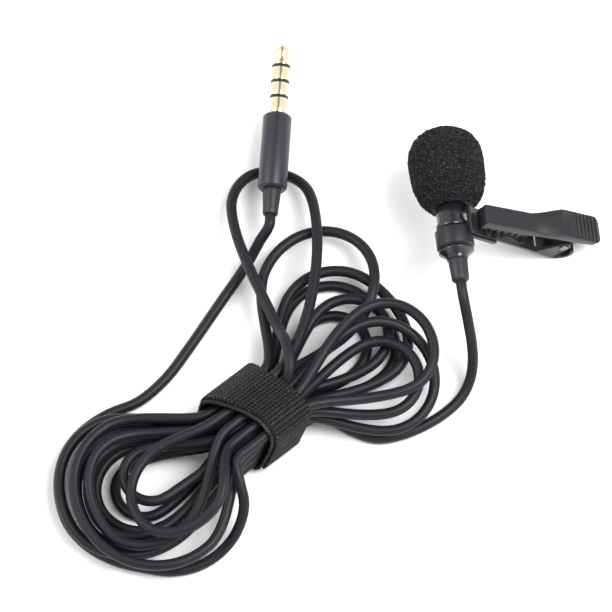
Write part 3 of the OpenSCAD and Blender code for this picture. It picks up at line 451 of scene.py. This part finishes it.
# %% The finishes, by the slot they belong to
# name, colour, roughness, then what differs from a plain finish
FINISH_OF = {
    "cable": (
        "cable_rubber", (0.0074, 0.0072, 0.0108), 0.46,
        {"specular": 0.27, "grain": (9, 0.35, 0.3)},
    ),
    "relief": (
        "relief_rubber", (0.016, 0.016, 0.021), 0.4, {"specular": 0.4, "grain": (9, 0.3, 0.25)},
    ),
    "housing": (
        "housing_enamel", (0.010, 0.011, 0.015), 0.2, {"coat": 0.15, "grain": (4, 0.05, 0.15)},
    ),
    "rear_cap": (
        "cap_enamel", (0.008, 0.009, 0.012), 0.18, {"coat": 0.3, "grain": (4, 0.05, 0.15)},
    ),
    "collar": (
        "collar_plastic", (0.011, 0.011, 0.0145), 0.4,
        {"specular": 0.35, "grain": (10, 0.25, 0.3)},
    ),
    "clip_steel": (
        "clip_enamel", (0.0152, 0.0134, 0.0168), 0.34,
        {"specular": 0.28, "grain": (7, 0.12, 0.2)},
    ),
    "bright_steel": (
        "bright_steel", (0.2, 0.2, 0.21), 0.35, {"metallic": 1.0, "grain": (12, 0.1, 0.3)},
    ),
    "grille": (
        "grille_steel", (0.35, 0.35, 0.37), 0.35, {"metallic": 1.0, "grain": (12, 0.15, 0.3)},
    ),
    "capsule": (
        "capsule_aluminium", (0.70, 0.70, 0.72), 0.3,
        {"metallic": 1.0, "grain": (8, 0.1, 0.15)},
    ),
    "gasket": ("gasket_rubber", (0.02, 0.02, 0.022), 0.7, {}),
    "board": ("board_mask", (0.03, 0.12, 0.05), 0.35, {"grain": (5, 0.1, 0.3)}),
    "conductor": ("core_jacket", (0.010, 0.010, 0.0135), 0.5, {"specular": 0.3}),
    "gold": (
        "gold_plate", (0.87, 0.74, 0.49), 0.13, {"metallic": 1.0, "grain": (14, 0.02, 0.05)},
    ),
    "insulator": ("insulator_plastic", (0.010, 0.010, 0.012), 0.3, {}),
    "handle": (
        "handle_enamel", (0.026, 0.025, 0.034), 0.33, {"metallic": 0.3, "grain": (9, 0.1, 0.2)},
    ),
}
finishes = {
    slot: finish(name, color, roughness, **more)
    for slot, (name, color, roughness, more) in FINISH_OF.items()
}
cable.data.materials.append(finishes["cable"])
print("finishes:", ", ".join(finishes))

# %% [markdown]
# ## The rigid pieces
#
# The frame's rigid pieces already have the right shape and place. What they
# lack is what light needs: a real edge is never sharp, and its small rounding
# is what glints. So each visible piece is copied, its loose triangles are
# joined, and its edges get a bevel of a tenth of a millimetre or so.

# %% Body, slot and edge of each piece
BODY_OF = {
    node: body for body, names in frame["record"]["behaviour"]["bodies"].items() for node in names
}
SLOT_OF = {row["node"]: row["material_slot"] for row in frame["record"]["subparts"]}
# how wide the rounding of each piece is, in millimetres
EDGE_WIDTHS = {
    "capsule_housing": 0.06, "rear_cap": 0.06, "head_strain_relief": 0.08, "clip_collar": 0.1,
    "lower_jaw": 0.1, "upper_lever": 0.22, "pivot_pin": 0.05, "collar_rivets": 0.1,
    "plug_handle": 0.1, "plug_strain_relief": 0.08, "plug_tip": 0.05, "plug_ring_front": 0.04,
    "plug_ring_rear": 0.04, "plug_sleeve": 0.04,
}


def only(piece):
    """Selects one piece and nothing else."""
    bpy.ops.object.select_all(action="DESELECT")
    piece.select_set(True)
    bpy.context.view_layer.objects.active = piece


def paint(piece, slot):
    """Gives a piece the finish of a slot."""
    piece.data.materials.clear()
    piece.data.materials.append(finishes[slot])


print("pieces to round:", len(EDGE_WIDTHS))

# %% Round the edges of the visible pieces
EDGE_ANGLE = math.radians(32)
FLAT_ANGLE = math.radians(0.5)
MERGE_WITHIN = 2e-6
EDGE_SEGMENTS = 2


def rounded(node, edge):
    """A copy of a node with joined triangles and rounded edges, in the node's place."""
    mesh = frame["nodes"][node].data.copy()
    piece = bpy.data.objects.new(node + "_rounded", mesh)
    bpy.context.scene.collection.objects.link(piece)
    only(piece)
    bpy.ops.object.mode_set(mode="EDIT")
    bpy.ops.mesh.select_all(action="SELECT")
    bpy.ops.mesh.remove_doubles(threshold=MERGE_WITHIN)
    bpy.ops.mesh.dissolve_limited(angle_limit=FLAT_ANGLE)
    bpy.ops.object.mode_set(mode="OBJECT")
    bevel = piece.modifiers.new("edge", "BEVEL")
    bevel.width = edge * MM
    bevel.segments = EDGE_SEGMENTS
    bevel.limit_method = "ANGLE"
    bevel.angle_limit = EDGE_ANGLE
    bpy.ops.object.modifier_apply(modifier=bevel.name)
    bpy.ops.object.shade_smooth_by_angle(angle=EDGE_ANGLE)
    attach(piece, BODY_OF[node])
    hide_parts(node)
    paint(piece, SLOT_OF[node])
    return piece


rigid = {node: rounded(node, edge) for node, edge in EDGE_WIDTHS.items()}
print("rounded pieces:", len(rigid))

# %% [markdown]
# ## The foam windscreen
#
# The windscreen is open-cell foam, ground to a blunt egg with a blind bore for
# the microphone. Its cells are what one sees: pits less than half a millimetre
# wide with thin walls between them, and a rough outline. A sphere is a good
# start, because its rings can follow the foam's outline from the tip over the
# open end and back up the bore. Then every point of the outside moves in or
# out by its distance to the nearest cell walls.

# %% Outline of the foam, from its tip to the blind end of its bore
# diameter, length, distance of its rear from the collar's middle, shift aside
FOAM_D, FOAM_LEN, FOAM_REAR, FOAM_SIDE = 13.9, 15.8, 6.2, 0.45
FOAM_WIDE, FOAM_TAIL = 0.42 * FOAM_LEN, 0.655 * FOAM_LEN
TIP_BLUNTNESS, TAIL_BLUNTNESS, FULLNESS = 2.3, 3, 2.2
BORE_R, BORE_END = 2.8, -17.7
OUTSIDE_RINGS, END_RINGS, BORE_RINGS = 190, 10, 12
OUTLINE_STEPS = 2000


def foam_radius(s):
    """Radius of the foam at the distance s from its tip."""
    q = (FOAM_WIDE - s) / FOAM_WIDE if s < FOAM_WIDE else (s - FOAM_WIDE) / FOAM_TAIL
    power = TIP_BLUNTNESS if s < FOAM_WIDE else TAIL_BLUNTNESS
    return FOAM_D / 2 * max(0, 1 - q**power) ** (1 / FULLNESS)


foam_tip = -FOAM_REAR - FOAM_LEN
fine = [
    FOAM_LEN * (1 - math.cos(math.pi * k / OUTLINE_STEPS)) / 2 for k in range(OUTLINE_STEPS + 1)
]
outside = np.array([(foam_radius(s), foam_tip + s) for s in fine])
walked = np.concatenate([[0], np.cumsum(np.hypot(*np.diff(outside, axis=0).T))])
even = np.linspace(0, walked[-1], OUTSIDE_RINGS)
foam_profile = [
    (np.interp(w, walked, outside[:, 0]), np.interp(w, walked, outside[:, 1])) for w in even
]
end_r = foam_profile[-1][0]
foam_profile += [
    (end_r + (BORE_R - end_r) * k / END_RINGS, -FOAM_REAR) for k in range(1, END_RINGS + 1)
]
foam_profile += [
    (BORE_R, -FOAM_REAR + (BORE_END + FOAM_REAR) * k / BORE_RINGS) for k in range(1, BORE_RINGS + 1)
]
foam_profile.append((0, BORE_END))
print("rings of the foam:", len(foam_profile))

# %% The foam: a sphere whose rings follow the outline
AROUND = 380
bpy.ops.object.select_all(action="DESELECT")
bpy.ops.mesh.primitive_uv_sphere_add(segments=AROUND, ring_count=len(foam_profile) - 1, radius=1)
foam = bpy.context.object
foam.name = "foam_ball"
co = np.empty(len(foam.data.vertices) * 3)
foam.data.vertices.foreach_get("co", co)
co = co.reshape(-1, 3)
ring = np.rint(np.arccos(np.clip(co[:, 2], -1, 1)) / math.pi * (len(foam_profile) - 1)).astype(int)
turn = -np.arctan2(co[:, 1], co[:, 0])
radius = np.array([r for r, z in foam_profile])[ring]
along_axis = np.array([z for r, z in foam_profile])[ring]
aside = np.where(ring < OUTSIDE_RINGS + END_RINGS, FOAM_SIDE, 0)
points = np.stack([radius * np.cos(turn) + aside, radius * np.sin(turn), along_axis], axis=1)
print("points of the foam:", len(points))

# %% Open cells: pits between thin walls, with pale specks here and there that are painted glints
CELL = 0.45
PIT = 0.34
ROUGH = 0.26
WALL_WIDTH = 0.4
UNMOVED_WALL = 0.8
# how fine each kind of lump is, in lumps per cell, and how strong
LUMPS = ((0.3, 0.3), (0.9, 0.9))
GLINTS_PER_CELL, GLINT_FROM, GLINT_GAIN = 4.3, 0.34, 4
outline_way = np.gradient(np.array(foam_profile[:OUTSIDE_RINGS]), axis=0)
outward = np.stack([outline_way[:, 1], -outline_way[:, 0]], axis=1)
outward /= np.linalg.norm(outward, axis=1)[:, None]
wall_mask = np.zeros(len(points))
glint_mask = np.zeros(len(points))
for i in np.flatnonzero(ring < OUTSIDE_RINGS):
    spot = Vector(points[i]) / CELL
    nearest, next_nearest = noise.voronoi(spot)[0][:2]
    wall = 1 - min(1, (next_nearest - nearest) / WALL_WIDTH)
    coarse = sum(noise.noise(spot * fineness) * strength for fineness, strength in LUMPS)
    out_r, out_z = outward[ring[i]]
    push = PIT * (wall - UNMOVED_WALL) + ROUGH * coarse
    points[i] += push * np.array([out_r * math.cos(turn[i]), out_r * math.sin(turn[i]), out_z])
    wall_mask[i] = wall
    # painted glints: pale specks on the walls that stand in for highlights
    glint = max(0, noise.noise(spot * GLINTS_PER_CELL) - GLINT_FROM)
    glint_mask[i] = wall * glint * GLINT_GAIN
print("mean wall", wall_mask.mean().round(2), "mean glint", glint_mask.mean().round(3))

# %% Place the foam and give it its masks
def triangles(piece):
    """How many triangles the faces of a piece come to."""
    return sum(len(face.vertices) - 2 for face in piece.data.polygons)


foam.data.vertices.foreach_set("co", points.ravel() * MM)
foam.data.transform(head_frame)
foam.data.update()
only(foam)
bpy.ops.object.mode_set(mode="EDIT")
bpy.ops.mesh.select_all(action="SELECT")
bpy.ops.mesh.normals_make_consistent(inside=False)
bpy.ops.object.mode_set(mode="OBJECT")
bpy.ops.object.shade_smooth()
for label, values in (("wall", wall_mask), ("glint", glint_mask)):
    foam.data.attributes.new(label, "FLOAT", "POINT").data.foreach_set("value", values)
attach(foam, "windscreen")
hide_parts("foam_windscreen")
print("triangles of the foam:", triangles(foam))

# %% A finish that follows a mask on the mesh
def masked_finish(name, mask, deep, raised, highlight_mask, highlight_color, roughness, specular):
    """Colour from deep to raised by a mask, painted shade in the hollows; a second mask adds pale specks, painted
    highlights.
    """
    material = bpy.data.materials.new(name)
    material.use_nodes = True
    tree = material.node_tree
    shader = tree.nodes["Principled BSDF"]
    shader.inputs["Roughness"].default_value = roughness
    shader.inputs["Specular IOR Level"].default_value = specular
    ramp = add_node(tree, "ShaderNodeMix", data_type="RGBA")
    ramp.inputs["A"].default_value = (*deep, 1)
    ramp.inputs["B"].default_value = (*raised, 1)
    specks = add_node(tree, "ShaderNodeMix", data_type="RGBA")
    specks.inputs["B"].default_value = (*highlight_color, 1)
    for mix, attribute in ((ramp, mask), (specks, highlight_mask)):
        mask_node = add_node(tree, "ShaderNodeAttribute", attribute_name=attribute)
        tree.links.new(mask_node.outputs["Fac"], mix.inputs["Factor"])
    tree.links.new(ramp.outputs["Result"], specks.inputs["A"])
    tree.links.new(specks.outputs["Result"], shader.inputs["Base Color"])
    return material


# the pits are painted near black, painted shade in the hollows; the glint specks are painted highlights
foam.data.materials.clear()
foam.data.materials.append(
    masked_finish(
        "foam_cells", "wall", deep=(0.0005, 0.0005, 0.0006), raised=(0.0062, 0.0054, 0.0084),
        highlight_mask="glint", highlight_color=(0.12, 0.115, 0.13), roughness=0.6, specular=0.2,
    )
)
print("painted", foam.name)

# %% [markdown]
# ## The hook-and-loop strap
#
# A woven strap is drawn round the hank: its loop side looks out and shows a
# grid of raised threads with deep holes between them, and a second turn peeks
# out below it at the mouth. A flat strap keeps its section, so it is modelled
# directly: a fine grid is laid along a closed path round the cables, its
# holes are pressed in, and Solidify gives it its thickness.

# %% The path round the cables, in the strap's own frame
STRAP_MIDDLE = np.array([0.2, 6.3])
# half width and height of the four quarters, and how square each is
QUARTERS = {
    (1, 1): (7.4, 6.2, 2.4), (-1, 1): (7.0, 6.2, 4.2),
    (-1, -1): (7.0, 5.15, 8), (1, -1): (7.4, 5.15, 8),
}
PATH_START = math.radians(-118)
ROUND_STEPS = 4000
PATH_STEPS = 420


def wrap_path(steps):
    """Even points of the closed path round the cables, and its outward ways."""
    rounds = []
    for k in range(ROUND_STEPS):
        a = PATH_START - 2 * math.pi * k / ROUND_STEPS
        c, s = math.cos(a), math.sin(a)
        wide, high, power = QUARTERS[(1 if c >= 0 else -1, 1 if s >= 0 else -1)]
        r = (abs(c / wide) ** power + abs(s / high) ** power) ** (-1 / power)
        rounds.append(STRAP_MIDDLE + r * np.array([c, s]))
    rounds = np.array([*rounds, rounds[0]])
    run = np.concatenate([[0], np.cumsum(np.linalg.norm(np.diff(rounds, axis=0), axis=1))])
    at = np.linspace(0, run[-1], steps)
    path = np.stack([np.interp(at, run, rounds[:, 0]), np.interp(at, run, rounds[:, 1])], axis=1)
    way = np.gradient(path, axis=0)
    out = np.stack([-way[:, 1], way[:, 0]], axis=1)
    return path, out / np.linalg.norm(out, axis=1)[:, None], run[-1]


wrap, wrap_out, wrap_len = wrap_path(PATH_STEPS + 1)
print("the path round the cables is", round(wrap_len, 1), "mm long")

# %% Edges of the strap along the path
# share of the path, then where the mouth's edge and the far edge lie
STRAP_EDGES = np.array([
    (0, -4.8, 3.6), (0.07, -4.6, 3.8), (0.14, -3.0, 4.6), (0.22, -1.4, 6.0), (0.3, -0.6, 7.6),
    (0.37, -0.7, 7.6), (0.44, -1.8, 6.8), (0.52, -3.8, 5.8), (0.6, -5.4, 5.3), (0.72, -6.1, 5.2),
    (0.86, -5.6, 4.4), (1, -4.8, 3.6),
])
strap_widths = STRAP_EDGES[:, 2] - STRAP_EDGES[:, 1]
print("the strap is", strap_widths.min().round(1), "to", strap_widths.max().round(1), "mm wide")

# %% The weave: threads along and across, with holes between them
THREADS_ALONG, THREADS_ACROSS = 66, 14
HOLE_EDGE, HOLE_SLOPE = 0.42, 0.45
BORDER_SLOPE, BORDER_THREAD = 40, 0.8


def woven(s, t):
    """How raised the thread is at a share of length and width, and how far from the border."""
    crest_s = np.abs(np.cos(math.pi * s * THREADS_ALONG))
    crest_t = np.abs(np.cos(math.pi * t * THREADS_ACROSS))
    thread = np.clip((np.maximum(crest_s**2, crest_t**2) - HOLE_EDGE) / HOLE_SLOPE, 0, 1)
    border = np.clip(np.minimum(t, 1 - t) * BORDER_SLOPE, 0, 1)
    return thread * border + BORDER_THREAD * (1 - border), border


print("threads of the strap:", THREADS_ALONG, "by", THREADS_ACROSS)

# %% One turn of the strap, laid on the path
FRAY = 0.14
# how finely the painted highlights of single fibres are spread, and how strong they are
FIBRE_GLINTS_ALONG, FIBRE_GLINTS_ACROSS, FIBRE_GLINT_FROM, FIBRE_GLINT_GAIN = 190, 46, 0.42, 5
ABOVE_DESK = 0.12


def laid_strap(name, lift, thickness, edge_shift, steps_along, steps_across, weave, start=0.0):
    """A turn of the strap: a grid laid on the path, lifted off it, with its weave."""
    bpy.ops.object.select_all(action="DESELECT")
    bpy.ops.mesh.primitive_grid_add(x_subdivisions=steps_along, y_subdivisions=steps_across, size=2)
    turn_piece = bpy.context.object
    turn_piece.name = name
    flat = np.empty(len(turn_piece.data.vertices) * 3)
    turn_piece.data.vertices.foreach_get("co", flat)
    share = (flat.reshape(-1, 3)[:, :2] + 1) / 2
    s, t = start + (1 - start) * share[:, 0], share[:, 1]

    def on_path(values):
        """Values per step of the path, read at the share s."""
        steps = range(PATH_STEPS + 1)
        return np.stack([np.interp(s * PATH_STEPS, steps, values[:, k]) for k in (0, 1)], axis=1)

    middle, out = on_path(wrap), on_path(wrap_out)
    low = np.interp(s, STRAP_EDGES[:, 0], STRAP_EDGES[:, 1]) + edge_shift[0]
    high = np.interp(s, STRAP_EDGES[:, 0], STRAP_EDGES[:, 2]) + edge_shift[1]
    thread, border = woven(s, t)
    off = lift + thickness + weave * (thread - 1)
    fray = FRAY * (1 - border) * np.cos(2 * math.pi * s * THREADS_ALONG)
    side = low + (high - low) * t + fray
    across_at = middle[:, 0] + out[:, 0] * off
    height_at = np.maximum(middle[:, 1] + out[:, 1] * off, ABOVE_DESK)
    spots = (
        np.append(TIE_AT, 0) + desk
        + side[:, None] * np.append(ALONG, 0) + across_at[:, None] * np.append(ACROSS, 0)
        + height_at[:, None] * np.array([0, 0, 1])
    )
    turn_piece.data.vertices.foreach_set("co", spots.ravel() * MM)
    turn_piece.data.update()
    # pale specks on the thread crests: painted highlights of single fibres
    fibre_glint = np.array([
        max(0, noise.noise(Vector((a * FIBRE_GLINTS_ALONG, b * FIBRE_GLINTS_ACROSS, lift))) - FIBRE_GLINT_FROM)
        * FIBRE_GLINT_GAIN * c
        for a, b, c in zip(s, t, thread)
    ])
    for label, values in (("thread", thread), ("fibre_glint", fibre_glint)):
        turn_piece.data.attributes.new(label, "FLOAT", "POINT").data.foreach_set("value", values)
    return turn_piece

# %% Two turns of the strap, made solid and joined
STEPS_PER_THREAD = 6
STRAP_MERGE = 1e-6
STRAP_SMOOTH = math.radians(50)
outer_turn = laid_strap(
    "hook_and_loop_strap", lift=0.5, thickness=0.6, edge_shift=(0, 0), weave=0.36, start=0.1,
    steps_along=THREADS_ALONG * STEPS_PER_THREAD, steps_across=THREADS_ACROSS * STEPS_PER_THREAD,
)
inner_turn = laid_strap(
    "inner_turn", lift=0, thickness=0.5, edge_shift=(-0.85, -0.4), weave=0,
    steps_along=160, steps_across=12,
)
for turn_piece, thickness in ((outer_turn, 0.5), (inner_turn, 0.45)):
    only(turn_piece)
    bpy.ops.object.mode_set(mode="EDIT")
    bpy.ops.mesh.select_all(action="SELECT")
    bpy.ops.mesh.remove_doubles(threshold=STRAP_MERGE)
    bpy.ops.mesh.normals_make_consistent(inside=False)
    bpy.ops.object.mode_set(mode="OBJECT")
    solid = turn_piece.modifiers.new("thickness", "SOLIDIFY")
    solid.thickness = thickness * MM
    solid.offset = -1
    bpy.ops.object.modifier_apply(modifier=solid.name)
    bpy.ops.object.shade_smooth_by_angle(angle=STRAP_SMOOTH)
only(outer_turn)
inner_turn.select_set(True)
bpy.ops.object.join()
strap = outer_turn
strap.data.materials.clear()
# the holes between the threads are painted near black, painted shade; the fibre specks are painted highlights
strap.data.materials.append(
    masked_finish(
        "strap_weave", "thread", deep=(0.0004, 0.0004, 0.0004), raised=(0.0108, 0.0098, 0.0112),
        highlight_mask="fibre_glint", highlight_color=(0.07, 0.066, 0.07), roughness=0.55, specular=0.3,
    )
)
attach(strap, "microphone")
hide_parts("cable_tie")
print("triangles of the strap:", triangles(strap))

# %% [markdown]
# ## The pieces that stay as they are
#
# The pieces inside the housing and the handle, the clip's spring and the
# plug's insulator keep the frame's own meshes, because next to nothing of
# their edges shows. They only get their finishes, now that every other node
# has its stand-in.

# %% Paint what stays
kept = [node for node, cad_piece in frame["nodes"].items() if not cad_piece.hide_render]
for node in kept:
    paint(frame["nodes"][node], SLOT_OF[node])
print("painted as they are:", ", ".join(sorted(kept)))

# %% [markdown]
# ## Table and light
#
# A white table, a bright soft sky, a large lamp high on the right and a weaker
# one on the left: the shadows fall softly to the left, and round black pieces
# show long highlights.

# %% Table
TABLE_SIZE = 3.0
TABLE_WHITE = (0.92, 0.92, 0.93, 1)
bpy.ops.mesh.primitive_plane_add(size=TABLE_SIZE, location=(look_at.x, look_at.y, 0))
table = bpy.context.object
table.name = "table"
table_paint = bpy.data.materials.new("table_white")
table_paint.use_nodes = True
table_shader = table_paint.node_tree.nodes["Principled BSDF"]
table_shader.inputs["Base Color"].default_value = TABLE_WHITE
table_shader.inputs["Roughness"].default_value = 0.9
table_shader.inputs["Specular IOR Level"].default_value = 0.1
table.data.materials.append(table_paint)
print("table", table.dimensions.x, "m wide")

# %% Sky: two bright sides with a darker band of ceiling between them
# the band draws the thin dark line down every polished round piece
BAND_AT = 0.04
BAND_EDGE = (0.1, 0.3)
BAND_LIGHT, SIDE_LIGHT = 0.35, 1.15
world = bpy.data.worlds.new("studio")
bpy.context.scene.world = world
world.use_nodes = True
sky = world.node_tree
toward = sky.nodes.new("ShaderNodeTexCoord")
split = sky.nodes.new("ShaderNodeSeparateXYZ")
off_band = add_node(sky, "ShaderNodeMath", operation="ABSOLUTE")
strength = add_node(
    sky, "ShaderNodeMapRange",
    from_min=BAND_EDGE[0], from_max=BAND_EDGE[1], to_min=BAND_LIGHT, to_max=SIDE_LIGHT,
)
sky.links.new(toward.outputs["Generated"], split.inputs[0])
sky.links.new(less(sky, split.outputs["X"], BAND_AT), off_band.inputs[0])
sky.links.new(off_band.outputs[0], strength.inputs["Value"])
sky.links.new(strength.outputs["Result"], sky.nodes["Background"].inputs["Strength"])
sky.nodes["Background"].inputs["Color"].default_value = (1, 1, 1, 1)
print("darker band from", round(BAND_AT - BAND_EDGE[0], 2), "to", round(BAND_AT + BAND_EDGE[0], 2))

# %% Lamps: places and sizes in metres, power in watts
def soft_light(name, offset, size, power):
    """A square lamp that looks at the middle of the view."""
    lamp = bpy.data.lights.new(name, "AREA")
    lamp.shape = "SQUARE"
    lamp.size = size
    lamp.energy = power
    holder = bpy.data.objects.new(name, lamp)
    bpy.context.scene.collection.objects.link(holder)
    holder.location = look_at + Vector(offset)
    holder.rotation_euler = (look_at - holder.location).to_track_quat("-Z", "Y").to_euler()
    return holder


key = soft_light("key", offset=(0.27, -0.06, 0.55), size=0.34, power=3.8)
fill = soft_light("fill", offset=(-0.45, 0.05, 0.45), size=0.3, power=1.2)
bpy.context.scene.view_settings.view_transform = "Standard"
print("lamps:", key.name, "and", fill.name)
